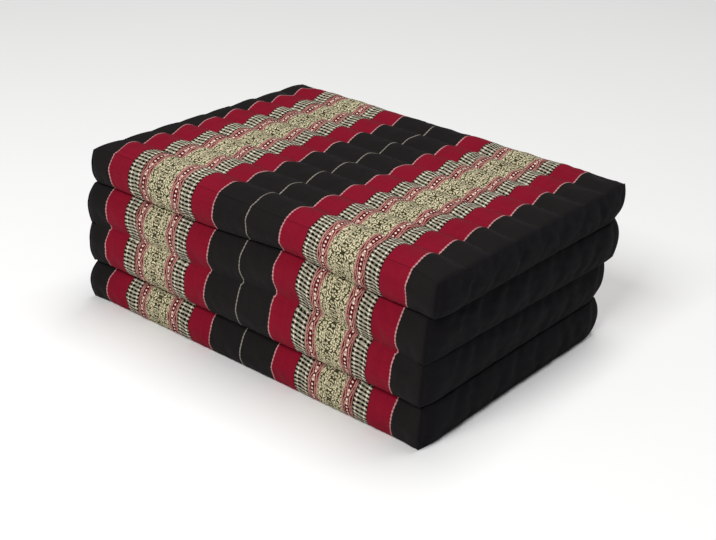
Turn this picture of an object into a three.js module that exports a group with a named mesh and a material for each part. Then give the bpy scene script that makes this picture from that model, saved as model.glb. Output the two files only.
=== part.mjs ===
// A folding Thai floor mattress, folded back and forth into a stack of four filled sections.
// Millimetres, +Z up. The front of the stack faces -Y, and the woven bands run from front to back.
// A section is one stuffed solid, swollen between the seams of its channels, which cross it from end to end.
// A black gusset closes each of its two ends. A valley of doubled cloth joins each section to the next:
// the first fold is at the back of the stack, the second at the front and the third at the back.

import * as THREE from "three";
import { mergeVertices } from "three/addons/utils/BufferGeometryUtils.js";

// Driving dimensions
const WIDTH = 660; // across the bands, from one end seam to the other
const LENGTH = 508; // front to back of the stack, a quarter of the opened mattress
const THICKNESS = 69; // one section, from the crests of one face to those of the other
const CHANNELS = 8; // stuffed channels in a section, from front to back
const CLOTH = 1.5; // cloth with its seam turned in
const GAP = 0.4; // air between neighbouring pieces

// End gussets
const END_BELLY = 6; // how far the stuffing pushes a gusset out at half height
const END_DRAWN_IN = 2; // how far an end seam is pulled in between its two corners

// Front and back edges
const EDGE_ROWS = 4; // strips of cloth from the bottom seam of an edge to its top seam
const EDGE_ROUNDNESS = 2.2; // power of the edge's belly: higher is boxier
const FOLD_LEG = 12; // cloth of a fold on either side of its valley
const FOLD_SHORT = 16; // how far a fold stops short of each end seam

// Swell of a channel between its two seams, from 0 at a seam to 1 on the crest
const SWELL_ROUNDNESS = 2.4; // power of a free channel's swell
const PRESSED_SHOULDER = 0.2; // share of a pressed channel's width that each sloping shoulder takes
const FREE_SAMPLES = [0, 0.2, 0.5, 0.8]; // places across a free channel where its shape is worked out
const PRESSED_SAMPLES = [0, PRESSED_SHOULDER, 1 - PRESSED_SHOULDER];
const swollen = (across) => 1 - Math.abs(2 * across - 1) ** SWELL_ROUNDNESS;
const pressed = (across) => Math.min(1, across / PRESSED_SHOULDER, (1 - across) / PRESSED_SHOULDER);

// The kinds of sewn face. crease: depth of the seams between channels. edge: fall of the face to its
// front and back edge seams. setIn: how far those seams lie behind the belly of the edge. crown: fall of
// the face to its end seams.
const FREE_TOP = { top: true, crease: 9, edge: 14, setIn: 9, crown: 10, swell: swollen };
const PRESSED_TOP = { top: true, crease: 5, edge: 4, setIn: 13, crown: 2, swell: pressed };
const PRESSED_BOTTOM = { top: false, crease: 5, edge: 4, setIn: 13, crown: 2, swell: pressed };
const FLOOR_BOTTOM = { top: false, crease: 4, edge: 2, setIn: 10, crown: 0, swell: pressed };

// Stuffing missing from the crest of each free channel, front to back
const CHANNEL_SLACK = [0, 1.5, 0.6, 2.2, 1.0, 0.3, 1.8, 0.8];

// One row for each section, from the top of the stack down. The stack is uneven: frontX and backX shift
// the two edges of a section sideways, and frontInset and backInset set them in from the front and back
// of the stack. Sections that share a fold share that edge.
const SECTIONS = [
  { frontX: 9, frontInset: 2, backX: 20, backInset: 0, topFace: FREE_TOP, bottomFace: PRESSED_BOTTOM },
  { frontX: 0, frontInset: 0, backX: 20, backInset: 0, topFace: PRESSED_TOP, bottomFace: PRESSED_BOTTOM },
  { frontX: 0, frontInset: 0, backX: 10, backInset: 12, topFace: PRESSED_TOP, bottomFace: PRESSED_BOTTOM },
  { frontX: 0, frontInset: 6, backX: 10, backInset: 12, topFace: PRESSED_TOP, bottomFace: FLOOR_BOTTOM },
];

// One row for each fold: the section above it, counted from the top, and the edge of the stack it lies at
const FOLDS = [
  { above: 0, edge: "back" },
  { above: 1, edge: "front" },
  { above: 2, edge: "back" },
];

// Stations from an end seam towards the middle. relief: share of the channels' relief that is left there.
// fall: share of the crown's fall. drawnIn: how far the edges are pulled in. belly: share of their belly.
const END_STATIONS = [
  { fromEnd: 0, relief: 0.3, fall: 1, drawnIn: 2, belly: 0.6 },
  { fromEnd: 14, relief: 0.75, fall: 0.45, drawnIn: 0, belly: 1 },
  { fromEnd: 45, relief: 1, fall: 0.1, drawnIn: 0, belly: 1 },
  { fromEnd: 130, relief: 1, fall: 0, drawnIn: 0, belly: 1 },
  { fromEnd: 240, relief: 1, fall: 0, drawnIn: 0, belly: 1 },
];
const LEFT = -1;
const RIGHT = 1;
const STATIONS = [
  ...END_STATIONS.map((station) => ({ ...station, side: LEFT })),
  ...END_STATIONS.map((station) => ({ ...station, side: RIGHT })).reverse(),
];
const MIDDLE_STATION = STATIONS[END_STATIONS.length - 1];

const BAND_RED = new THREE.MeshStandardMaterial({ color: 0x96182d, roughness: 0.85, metalness: 0 });
const COTTON_BLACK = new THREE.MeshStandardMaterial({ color: 0x1e1d1f, roughness: 0.9, metalness: 0 });

const { lerp } = THREE.MathUtils;
const even = (count) => Array.from({ length: count + 1 }, (_, i) => i / count);
const RISES = even(EDGE_ROWS);

// Columns of a section from its front seam to its back seam, each at a place across one of the channels
function columnsOf(section) {
  const columns = [];
  for (let channel = 0; channel < CHANNELS; channel += 1) {
    for (const across of section.topFace === FREE_TOP ? FREE_SAMPLES : PRESSED_SAMPLES) {
      columns.push({ channel, across, along: (channel + across) / CHANNELS });
    }
  }
  columns.push({ channel: CHANNELS - 1, across: 1, along: 1 });
  return columns;
}

// A face's height above the underside of its section, once it has fallen by some depth from its crests
const heightAt = (face, depth) => (face.top ? THICKNESS - depth : depth);

// A point on the front or back edge of a section. rise is 0 at the bottom seam and 1 at the top seam.
function edgePoint(section, edge, station, rise) {
  const nearest = rise > 0.5 ? section.topFace : section.bottomFace;
  const hollow = nearest.setIn * station.belly * Math.abs(2 * rise - 1) ** EDGE_ROUNDNESS;
  const inset = station.drawnIn + hollow;
  const seam = (face) => heightAt(face, face.edge * station.relief + face.crown * station.fall);
  return {
    y: edge === "front" ? section.frontInset - LENGTH / 2 + inset : LENGTH / 2 - section.backInset - inset,
    z: lerp(seam(section.bottomFace), seam(section.topFace), rise),
  };
}

// A point on the top or bottom face of a section
function facePoint(section, face, station, column) {
  const rise = face.top ? 1 : 0;
  const front = edgePoint(section, "front", station, rise);
  const back = edgePoint(section, "back", station, rise);
  const { channel, across, along } = column;
  const atEdge = across < 0.5 ? channel === 0 : channel === CHANNELS - 1;
  const seamDepth = atEdge ? face.edge : face.crease;
  const swell = face.swell(across);
  const slack = face === FREE_TOP ? CHANNEL_SLACK[channel] * swell : 0;
  const depth = station.relief * (seamDepth * (1 - swell) + slack) + face.crown * station.fall;
  return { y: lerp(front.y, back.y, along), z: heightAt(face, depth) };
}

// Distance of a point from the middle of the section, out towards one end
function reachAt(station, along) {
  const drawnIn = station.fromEnd === 0 ? END_DRAWN_IN * Math.sin(Math.PI * along) : 0;
  return WIDTH / 2 - station.fromEnd - drawnIn;
}

// Sets a point of a section sideways, by the lean of the section there
function leaning(section, x, { y, z }) {
  const front = section.frontInset - LENGTH / 2;
  const back = LENGTH / 2 - section.backInset;
  return [x + lerp(section.frontX, section.backX, (y - front) / (back - front)), y, z];
}

// A point on the bulging end of a section, where its gusset lies
function endPoint(section, side, column, rise) {
  const station = side === LEFT ? STATIONS[0] : STATIONS[STATIONS.length - 1];
  const { along } = column;
  if (along === 0 || along === 1) {
    const edge = along === 0 ? "front" : "back";
    return leaning(section, side * reachAt(station, along), edgePoint(section, edge, station, rise));
  }
  const low = facePoint(section, section.bottomFace, station, column);
  const high = facePoint(section, section.topFace, station, column);
  const towardsCorners = Math.min(1, along * CHANNELS, (1 - along) * CHANNELS);
  const belly = END_BELLY * towardsCorners * (1 - (2 * rise - 1) ** 2);
  const point = { y: lerp(low.y, high.y, rise), z: lerp(low.z, high.z, rise) };
  return leaning(section, side * (reachAt(station, along) + belly), point);
}

// Adds the triangles of a grid of points. They face the side from which rows run right and columns run up.
function addGrid(triangles, rows, columns, pointAt, turned = false) {
  for (let i = 0; i + 1 < rows.length; i += 1) {
    for (let j = 0; j + 1 < columns.length; j += 1) {
      const a = pointAt(rows[i], columns[j]);
      const b = pointAt(rows[i + 1], columns[j]);
      const c = pointAt(rows[i + 1], columns[j + 1]);
      const d = pointAt(rows[i], columns[j + 1]);
      triangles.push(...(turned ? [a, c, b, a, d, c] : [a, b, c, a, c, d]));
    }
  }
}

// A closed geometry from triangles whose corners meet
function closedGeometry(triangles) {
  const loose = new THREE.BufferGeometry();
  loose.setAttribute("position", new THREE.Float32BufferAttribute(triangles.flat(), 3));
  const geometry = mergeVertices(loose, 1e-3);
  geometry.computeVertexNormals();
  return geometry;
}

function sectionGeometry(section) {
  const columns = columnsOf(section);
  const onFace = (face) => (station, column) =>
    leaning(section, station.side * reachAt(station, column.along), facePoint(section, face, station, column));
  const onEdge = (edge) => (station, rise) =>
    leaning(section, station.side * reachAt(station, 0), edgePoint(section, edge, station, rise));
  const onEnd = (side) => (column, rise) => endPoint(section, side, column, rise);
  const triangles = [];
  addGrid(triangles, STATIONS, columns, onFace(section.topFace));
  addGrid(triangles, STATIONS, columns, onFace(section.bottomFace), true);
  addGrid(triangles, STATIONS, RISES, onEdge("front"));
  addGrid(triangles, STATIONS, RISES, onEdge("back"), true);
  addGrid(triangles, columns, RISES, onEnd(RIGHT));
  addGrid(triangles, columns, RISES, onEnd(LEFT), true);
  return closedGeometry(triangles);
}

// A sheet of cloth over the bulging end of a section, with its edge on the end seam
function gussetGeometry(section, side) {
  const columns = columnsOf(section);
  const inside = GAP;
  const outside = GAP + CLOTH;
  const pointAt = (column, rise, off) => {
    const [x, y, z] = endPoint(section, side, column, rise);
    return [x + side * off, y, z];
  };
  const left = side === LEFT;
  const offsets = [inside, outside];
  const first = columns[0];
  const last = columns[columns.length - 1];
  const triangles = [];
  addGrid(triangles, columns, RISES, (column, rise) => pointAt(column, rise, outside), left);
  addGrid(triangles, columns, RISES, (column, rise) => pointAt(column, rise, inside), !left);
  addGrid(triangles, columns, offsets, (column, off) => pointAt(column, 0, off), left);
  addGrid(triangles, columns, offsets, (column, off) => pointAt(column, 1, off), !left);
  addGrid(triangles, RISES, offsets, (rise, off) => pointAt(first, rise, off), !left);
  addGrid(triangles, RISES, offsets, (rise, off) => pointAt(last, rise, off), left);
  return closedGeometry(triangles);
}

// One leg of a fold's valley: the cloth that lies against the edge of a section, from its seam outwards
function foldLeg(section, edge, seamRise, beltRise, seamPlane) {
  const at = (rise) => {
    const { y, z } = edgePoint(section, edge, MIDDLE_STATION, rise);
    return new THREE.Vector2(y, z);
  };
  const seam = at(seamRise);
  const along = at(beltRise).sub(seam).normalize();
  const outward = new THREE.Vector2(-along.y, along.x);
  const outwardSign = edge === "front" ? -1 : 1;
  if (Math.sign(outward.x) !== outwardSign) outward.negate();
  const line = (off) => {
    const start = seam.clone().addScaledVector(outward, off);
    const toPlane = (seamPlane - start.y) / along.y;
    return {
      valley: start.clone().addScaledVector(along, toPlane),
      end: start.clone().addScaledVector(along, FOLD_LEG),
    };
  };
  return { inner: line(GAP), outer: line(GAP + CLOTH) };
}

// The valley of doubled cloth between two sections, as a straight length of one V-shaped outline.
// Heights are counted from the underside of the upper section.
function foldGeometry(fold) {
  const upper = SECTIONS[fold.above];
  const lower = SECTIONS[fold.above + 1];
  const upperLeg = foldLeg(upper, fold.edge, 0, RISES[1], -GAP / 2);
  const lowerLeg = foldLeg(lower, fold.edge, 1, RISES[EDGE_ROWS - 1], THICKNESS + GAP / 2);
  const drop = new THREE.Vector2(0, -THICKNESS - GAP);
  const outline = [
    upperLeg.inner.end,
    upperLeg.inner.valley,
    lowerLeg.inner.end.clone().add(drop),
    lowerLeg.outer.end.clone().add(drop),
    upperLeg.outer.valley,
    upperLeg.outer.end,
  ];
  const length = WIDTH - 2 * FOLD_SHORT;
  const shape = new THREE.Shape(outline);
  const geometry = new THREE.ExtrudeGeometry(shape, { depth: length, bevelEnabled: false });
  const acrossTheStack = new THREE.Matrix4().makeBasis(
    new THREE.Vector3(0, 1, 0),
    new THREE.Vector3(0, 0, 1),
    new THREE.Vector3(1, 0, 0),
  );
  const centred = acrossTheStack.setPosition(-length / 2, 0, 0);
  return geometry.applyMatrix4(centred);
}

const layerHeight = (index) => (SECTIONS.length - 1 - index) * (THICKNESS + GAP);

// A section with its two gussets, at its height in the stack
function layer(section, index) {
  const group = new THREE.Group();
  group.position.z = layerHeight(index);
  const pieces = [
    ["section", sectionGeometry(section), BAND_RED],
    ["gusset_left", gussetGeometry(section, LEFT), COTTON_BLACK],
    ["gusset_right", gussetGeometry(section, RIGHT), COTTON_BLACK],
  ];
  for (const [name, geometry, cloth] of pieces) {
    const mesh = new THREE.Mesh(geometry, cloth.clone());
    mesh.name = `${name}_${index + 1}`;
    group.add(mesh);
  }
  return group;
}

function foldCloth(fold) {
  const upper = SECTIONS[fold.above];
  const mesh = new THREE.Mesh(foldGeometry(fold), BAND_RED.clone());
  mesh.name = `fold_${fold.above + 1}_${fold.above + 2}`;
  mesh.position.set(fold.edge === "front" ? upper.frontX : upper.backX, 0, layerHeight(fold.above));
  return mesh;
}

// The folded stack, set down with the middle of its base on the origin
const stack = new THREE.Group();
SECTIONS.forEach((section, index) => stack.add(layer(section, index)));
FOLDS.forEach((fold) => stack.add(foldCloth(fold)));
const middle = new THREE.Box3().setFromObject(stack).getCenter(new THREE.Vector3());
stack.position.set(-middle.x, -middle.y, 0);

const mattress = new THREE.Group();
mattress.add(stack);

export default mattress;
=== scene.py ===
"""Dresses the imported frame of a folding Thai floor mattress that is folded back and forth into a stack.

Each section becomes a cover of banded cotton, swollen by its stuffing between the creases of its
channels. Black gussets close the ends, and doubled cloth fills the valley of each fold. All lengths are
in metres.
"""

import math

import bpy
import numpy as np
from bpy.props import FloatProperty, FloatVectorProperty, IntProperty, PointerProperty
from mathutils import Matrix, Vector


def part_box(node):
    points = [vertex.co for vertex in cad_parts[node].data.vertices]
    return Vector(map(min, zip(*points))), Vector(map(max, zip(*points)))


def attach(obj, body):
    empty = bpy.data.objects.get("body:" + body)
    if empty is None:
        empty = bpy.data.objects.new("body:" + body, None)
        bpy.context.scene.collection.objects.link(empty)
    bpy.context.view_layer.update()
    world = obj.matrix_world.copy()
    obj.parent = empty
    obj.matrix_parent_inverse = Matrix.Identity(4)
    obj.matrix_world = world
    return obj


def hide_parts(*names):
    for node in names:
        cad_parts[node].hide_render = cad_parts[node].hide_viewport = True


bl_info = {
    "name": "Folding floor mattress",
    "version": (1, 0, 0),
    "blender": (4, 5, 0),
    "location": "3D View > Sidebar > Mattress",
    "description": "Dresses the frame of a folded floor mattress in stuffed, banded cotton",
    "category": "Object",
}

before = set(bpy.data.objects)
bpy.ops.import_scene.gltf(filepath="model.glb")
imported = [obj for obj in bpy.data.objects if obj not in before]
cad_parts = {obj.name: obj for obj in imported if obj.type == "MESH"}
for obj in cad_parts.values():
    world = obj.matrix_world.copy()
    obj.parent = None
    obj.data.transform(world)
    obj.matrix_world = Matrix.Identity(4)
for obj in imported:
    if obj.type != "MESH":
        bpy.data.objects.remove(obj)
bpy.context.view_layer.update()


def table(heads, *rows):
    """Each row as values by the names in heads."""
    return [dict(zip(heads, row)) for row in rows]


ROOT = "root"
CLOTH_MAP = "cloth"
LEFT, RIGHT = -1, 1
SIDES = {"left": LEFT, "right": RIGHT}

# One row for each section, from the top of the stack down: the shift of its front and back edges to the
# right, how far those edges lie in from the front and back of the stack, the shift of its bands to the
# left at those edges, and the kinds of its top and bottom faces
SECTIONS = table(
    ("node", "front_x", "front_inset", "back_x", "back_inset", "front_bands", "back_bands", "top",
     "bottom"),
    ("section_1", 0.009, 0.002, 0.020, 0.000, 0.0010, 0.0100, "free", "pressed"),
    ("section_2", 0.000, 0.000, 0.020, 0.000, 0.0000, 0.0100, "parted", "joined"),
    ("section_3", 0.000, 0.000, 0.010, 0.012, 0.0050, 0.0060, "joined", "pressed"),
    ("section_4", 0.000, 0.006, 0.010, 0.012, 0.0015, 0.0060, "gaping", "floor"),
)

# The kinds of sewn face. The free one is the top of the stack, and the floor one its underside. Between
# sections a face is pressed flat, joined to the next by the fold at the front, or parted or gaping from
# it along the edge. Each has the depth of its creases, the fall of the face to its front and back
# seams, how far those seams lie behind the belly of the edge, the share of that left at the end seams,
# the fall of the face to its end seams, and how far its corners are pulled in towards the middle
FACES = {row["kind"]: row for row in table(
    ("kind", "crease", "edge", "set_in", "at_end", "crown", "corner"),
    ("free", 0.009, 0.009, 0.0135, 0.35, 0.010, 0.002),
    ("pressed", 0.003, 0.0015, 0.013, 0.70, 0.001, 0.0065),
    ("joined", 0.003, 0.0010, 0.013, 0.40, 0.0005, 0.003),
    ("parted", 0.003, 0.0025, 0.018, 0.60, 0.001, 0.0065),
    ("gaping", 0.003, 0.0050, 0.019, 0.50, 0.001, 0.0065),
    ("floor", 0.004, 0.002, 0.010, 0.70, 0.000, 0.005),
)}

# One row for each fold: its node, the section above it and the edge of the stack it lies at
FOLDS = table(
    ("node", "above", "edge"),
    ("fold_1_2", 0, "back"),
    ("fold_2_3", 1, "front"),
    ("fold_3_4", 2, "back"),
)

# Stuffing missing from the crest of each free channel, front to back
CHANNEL_SLACK = (0.0, 0.0015, 0.0006, 0.0022, 0.0010, 0.0003, 0.0018, 0.0008)

# How the hand-stuffed stack has settled at its front: the hump about the second section that lifts the
# cloth, and for each section, from the top down, the shifts of its left edge line and of its left end to
# the right. Each of these two shifts sets in at a place across the stack, and is full so far to its left
HUMP = {"x": 0.085, "across": 0.105, "z": 0.175, "up": 0.105, "lift": 0.0138}
LEFT_SETTLING = ((-0.002, 0.005), (-0.003, 0.002), (0.000, 0.003), (-0.010, -0.006))
LINE_SETS_IN = {"x": -0.11, "over": 0.175}
END_SETS_IN = {"x": -0.285, "over": 0.05}

# Near the end seams: the share of the channels' relief that is left there, the reach of the crown's
# fall and of the pulled-in corners as shares of the end fade, and the powers of the crown's fall and of
# the pull on the seams
END_RELIEF = 0.3
CROWN_REACH = 1.35
CORNER_FADE = 1 / 3
CROWN_POWER = 2.5
PULL_POWER = 8

# The small tucks beside the creases: their reach as a share of the pucker reach, where they are full,
# the share of them at the crease itself, and the lengths of their waves
TUCKS = {"reach": 0.55, "full": 0.002, "at_crease": 0.25, "waves": (0.013, 0.019, 0.031)}

# The lumps of the stuffing: where they are full, how fast they change from front to back, the lengths
# of their waves, and the share of them where the section is pressed
LUMPS = {"full": 0.02, "slant": 0.1, "waves": (0.083, 0.141, 0.227), "pressed": 0.3}

# The loose cloth of a gusset: its height, how far in from the rims it is full, and its slant and waves
LOOSE = {"height": 0.0009, "along": 0.03, "up": 0.012, "slant": 3, "waves": (0.037, 0.061, 0.113)}

# A length too small to matter, to divide by
TINY = 1e-9

# How the waves of an uneven surface differ from each other
WAVE_TURN = 37.0
WAVE_LAG = 1.7

# Sharpness of the sewn creases and of the end seams, and how far the free top may rise above its layer
CREASE_SHARPNESS = 0.8
END_SHARPNESS = 1.0
FREE_RISE = 0.004

# Cloth taken up between two sections, and the lowest that a gusset hangs
FOLD_RUN = 0.010
LOWEST_GUSSET = 0.0003

# The strip of a fold: how far its middle is drawn in, how far it lies off the sections, and how far its
# two rims are tucked back
FOLD_DRAW = 0.002
FOLD_OFF = 0.0006
FOLD_TUCK = 0.0012

# How far the stitches lie above the bottom of their crease, and the facets of a stitch
STITCH_RISE = 0.0004
STITCH_SHAPE = {"Segments": 6, "Rings": 4, "Radius": 0.5}

# The cotton while the stuffing blows it up
COTTON = {
    "quality": 5,
    "mass": 0.25,
    "tension_stiffness": 20,
    "compression_stiffness": 8,
    "shear_stiffness": 8,
    "bending_stiffness": 0.6,
    "vertex_group_mass": "seams",
    "pin_stiffness": 1,
    "use_pressure": True,
}

# The ladder: where its posts, its middle thread and its fringe lie, as shares of its half width; where
# its beads lie and its gaps start, as shares of a repeat; how much its gaps are filled at the posts and
# at the middle; and how uneven it is
LADDER = {
    "posts": (0.48, 0.71), "middle": 0.13, "fringe": 0.94, "beads": (0.10, 0.50), "gap": 0.45,
    "at_posts": 0.36, "at_middle": 0.25, "uneven": 0.45, "grain": 230.0,
}

# The scroll: a link's half width and half length, as shares of the half width and of a repeat; a bead's
# radius, as a share of the way to the next; the line at each edge; and the lines on and about a link
SCROLL = {
    "link_width": 0.52, "link_length": 0.38, "bead": 0.22, "edge": (0.82, 0.97), "line": (0.86, 1.12),
    "outer_line": (1.36, 1.58),
}

# The brocade: how uneven its leaves are, where a leaf goes from cream to straw and from straw to the
# gap, and the half width of the lozenges' lines
BROCADE = {"grain": 170.0, "uneven": 0.36, "tone": (0.18, 0.46), "gap": (0.38, 0.62), "ring": 0.035}

# Half the width of each pale line, and how much its beads swell it, as shares of its width
EDGE_LINE = {"half": 0.38, "swell": 0.15}
MIDDLE_LINE = {"half": 0.42, "swell": 0.12}

# Uneven dyeing and spinning: how fast it changes across and along a thread, and how much each part
# counts
STREAKS = {"across": 900, "along": 9, "share": 0.45, "base": 0.40, "patches": 9.0, "patch_share": 0.30}

# How dark the painted shadow of the crease at the front seam is, and how high the border bands and the
# plain weave stand beside the raised brocade
SEAM_PAINTED_SHADOW = -0.45
BORDER_RISE = 0.6
WEAVE_RISE = 0.35

# Lint on the black cloth: its grain, how much noise makes a speck, how full a speck is and how pale
LINT = {"grain": 420.0, "speck": 0.70, "full": 0.5, "pale": 3.2}

# How the sewing thread and the floor look
THREAD_LOOK = {
    "grain": 900.0, "detail": 1.0, "contrast": 0.5, "base": 0.75, "sheen": 0.2, "roughness": 0.7,
}
FLOOR_LOOK = {
    "grain": 3.0, "detail": 3.0, "contrast": 0.02, "base": 0.985, "sheen": 0.0, "roughness": 0.9,
}

# The stage: the reach of the floor and how far below the stack it lies, the height that the lights aim
# at, the width of the camera's sensor in millimetres, and the size and place of each light
FLOOR_REACH = 12.0
FLOOR_Z = -0.0005
LIT_HEIGHT = 0.14
SENSOR_WIDTH = 36
LIGHTS = table(
    ("name", "size", "place"),
    ("key", 1.6, (0.3, -2.8, 3.0)),
    ("overhead", 5.0, (0.3, 1.8, 8.0)),
)

# The sections as they lie once stuffed, by node, for the pieces that are fitted to them
stuffed = {}


def srgb(*levels):
    """A linear colour from values of 0 to 255."""
    def linear(value):
        share = value / 255
        return share / 12.92 if share <= 0.04045 else ((share + 0.055) / 1.055) ** 2.4

    return tuple(linear(value) for value in levels)


def rgb(name, description, *levels):
    return FloatVectorProperty(
        name=name, description=description, default=srgb(*levels), subtype="COLOR", size=3, min=0, max=1
    )


def amount(name, description, default, subtype="NONE", **more):
    return FloatProperty(name=name, description=description, default=default, subtype=subtype, **more)


def metres(name, description, default):
    return amount(name, description, default, unit="LENGTH", precision=4)


def whole(name, description, default):
    return IntProperty(name=name, description=description, default=default)


class MattressSizes(bpy.types.PropertyGroup):
    """Sizes of the folded mattress and of the meshes of its sections"""

    width: metres("Width", "Across the bands, from one end seam to the other", 0.660)
    length: metres("Length", "Front to back of the stack", 0.508)
    end_belly: metres("End belly", "How far the stuffing pushes a gusset out at half height", 0.006)
    end_drawn_in: metres("End drawn in", "How far an end seam is pulled in at its middle", 0.002)
    corner_inset: metres("Corner inset", "How far the edges are pulled in at the corners", 0.002)
    corner_reach: metres("Corner reach", "How far a pulled-in corner runs along the end seam", 0.045)
    end_fade: metres("End fade", "From an end seam to the full relief of the channels", 0.045)
    edge_roundness: amount("Edge roundness", "Higher is boxier", 2.2)
    swell_roundness: amount("Swell roundness", "Higher is boxier", 2.4)
    pressed_shoulder: amount("Pressed shoulder", "Share of a pressed channel each side", 0.2, "FACTOR")
    channels: whole("Channels", "Stuffed channels in a section", 8)
    columns: whole("Columns", "Cloth columns across a section", 84)
    free_steps: whole("Free steps", "Cloth rows in a channel that is free to swell", 8)
    pressed_steps: whole("Pressed steps", "Cloth rows in a pressed channel", 6)
    edge_steps: whole("Edge steps", "Cloth rows on a front or back edge", 10)
    pucker_depth: metres("Pucker depth", "Height of the small tucks beside the creases", 0.0009)
    pucker_reach: metres("Pucker reach", "How far the tucks run out from a crease", 0.012)
    lump_height: metres("Lump height", "Unevenness of hand stuffing on the free top", 0.0012)
    gusset_cloth: metres("Gusset cloth", "Thickness of a gusset with its turned seam", 0.0012)
    gusset_off: metres("Gusset gap", "Air between a section and its gusset", 0.0005)
    seam_ridge: metres("Seam ridge", "How far the turned seam of a gusset stands up", 0.0006)
    fold_cloth: metres("Fold cloth", "Thickness of the doubled cloth in a fold", 0.0012)
    settled_depth: metres("Settled depth", "From the front to where the stack lies evenly", 0.25)
    stitch_pitch: metres("Stitch pitch", "From one stitch to the next along a crease", 0.0048)
    stitch_length: metres("Stitch length", "Length of one stitch", 0.0034)
    thread: metres("Thread", "Thickness of the sewing thread", 0.0008)


class StuffingSettings(bpy.types.PropertyGroup):
    """How the cloth is blown up by its stuffing"""

    pressure: amount("Pressure", "Outward push of the kapok on the cloth", 4.0)
    spare_cloth: amount("Spare cloth", "Share of cloth beyond the shape, for wrinkles", 0.03, "FACTOR")
    slack: amount("Slack", "Share of the full swell before the cloth is blown up", 0.85, "FACTOR")
    travel: metres("Travel", "Furthest that a point may move from the full shape", 0.005)
    frames: whole("Frames", "Steps of the cloth simulation", 20)


class BandSizes(bpy.types.PropertyGroup):
    """Layout of the woven bands, the same on both sides of the middle line"""

    block_centre: metres("Block centre", "From the middle line to the middle of a block", 0.1748)
    block_half: metres("Block half", "From the middle of a block to the pale line at its edge", 0.1098)
    brocade_half: metres("Brocade half", "Half the width of the cream brocade", 0.0225)
    scroll: metres("Scroll", "Width of the scroll border beside the brocade", 0.019)
    ladder: metres("Ladder", "Width of the black and white ladder beside the scroll", 0.025)
    edge_line: metres("Edge line", "Width of the pale line between red and black", 0.0026)
    middle_line: metres("Middle line", "Width of the pale line down the middle", 0.0022)
    ladder_picks: whole("Ladder picks", "Pattern threads in a rung and its gap", 8)
    scroll_picks: whole("Scroll picks", "Pattern threads in a link of the scroll", 56)
    brocade_picks: whole("Brocade picks", "Pattern threads in a lozenge", 56)
    bead_picks: whole("Bead picks", "Pattern threads from bead to bead", 8)
    leaf_width: metres("Leaf width", "Width of a leaf of the brocade, with its gap", 0.0029)
    leaf_length: metres("Leaf length", "Length of a leaf of the brocade", 0.0064)
    bead_pitch: metres("Bead pitch", "Repeat of the pale lines' beads", 0.0058)
    # The width of the line that is darkened as painted shadow along the top front seam
    front_seam_shadow: metres("Front seam", "Width of the seam along the top front edge", 0.0012)
    pick: metres("Pick", "Step from one pattern thread to the next", 0.00083)
    thread_pitch: metres("Thread pitch", "Repeat of the plain weave", 0.0010)
    weft_slant: amount("Weft slant", "Drop of the pattern threads to the right, for each metre", 0.2)
    slant_width: metres("Slant width", "From the middle line to where the weft has that slant", 0.12)


class ClothColours(bpy.types.PropertyGroup):
    """Colours of the cloth, the thread and the floor"""

    red: rgb("Red", "Plain red stripes", 127, 17, 38)
    black: rgb("Black", "Plain black stripes", 29, 26, 26)
    # Darker than the black stripes: partly the gussets' own darker cloth, partly painted shade of the
    # ends, which face away from the lights
    gusset: rgb("Gusset", "Black end gussets", 20, 18, 21)
    cream: rgb("Cream", "Raised weft of the brocade", 236, 225, 190)
    straw: rgb("Straw", "Flat weft of the brocade", 126, 120, 86)
    olive: rgb("Olive", "Gaps in the brocade", 44, 42, 26)
    ivory: rgb("Ivory", "Beads of the ladder and the scroll", 232, 222, 204)
    stone: rgb("Stone", "Rungs of the ladder", 170, 164, 143)
    soot: rgb("Soot", "Gaps of the ladder", 12, 10, 9)
    pink: rgb("Pink", "Lines of the scroll", 178, 132, 121)
    wine: rgb("Wine", "Ground of the scroll", 92, 18, 28)
    edge_line: rgb("Edge line", "Pale line between red and black", 184, 134, 134)
    middle_line: rgb("Middle line", "Pale line down the middle", 136, 130, 121)
    thread: rgb("Thread", "Sewing thread in the creases", 26, 18, 20)
    floor: rgb("Floor", "Studio floor", 250, 250, 249)


class StageSettings(bpy.types.PropertyGroup):
    """Camera and light of the stage"""

    azimuth: amount("Azimuth", "Turn of the camera to the right", math.radians(36.65), "ANGLE")
    elevation: amount("Elevation", "Camera above the horizon", math.radians(26.12), "ANGLE")
    roll: amount("Roll", "Turn of the picture", math.radians(3.61), "ANGLE")
    lens: amount("Lens", "Focal length in millimetres", 63.97)
    distance: metres("Distance", "From the camera to the aim", 2.1011)
    aim_right: metres("Aim right", "From the origin to the aim, to the right in the picture", 0.0184)
    aim_up: metres("Aim up", "From the origin to the aim, up in the picture", 0.0748)
    key: amount("Key light", "Power of the light high in front", 104.0, "POWER")
    overhead: amount("Overhead light", "Power of the light from above", 360.0, "POWER")
    sky: amount("Sky", "Brightness of the surroundings", 0.15)


def smooth_rise(value):
    """Rises from 0 to 1, fast at first and then level."""
    return 1 - (1 - np.clip(value, 0, 1)) ** 2


def run_of(steps):
    """The length run at each point, from the steps between the points."""
    return np.concatenate([[0], np.cumsum(steps)])


def grid_quads(grid, turned):
    """The quads between the points of a grid, with their corners the other way round where turned."""
    corners = [grid[:-1, :-1], grid[1:, :-1], grid[1:, 1:], grid[:-1, 1:]]
    quads = np.stack([corner.ravel() for corner in corners], axis=1)
    return quads[:, ::-1] if turned else quads


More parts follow.
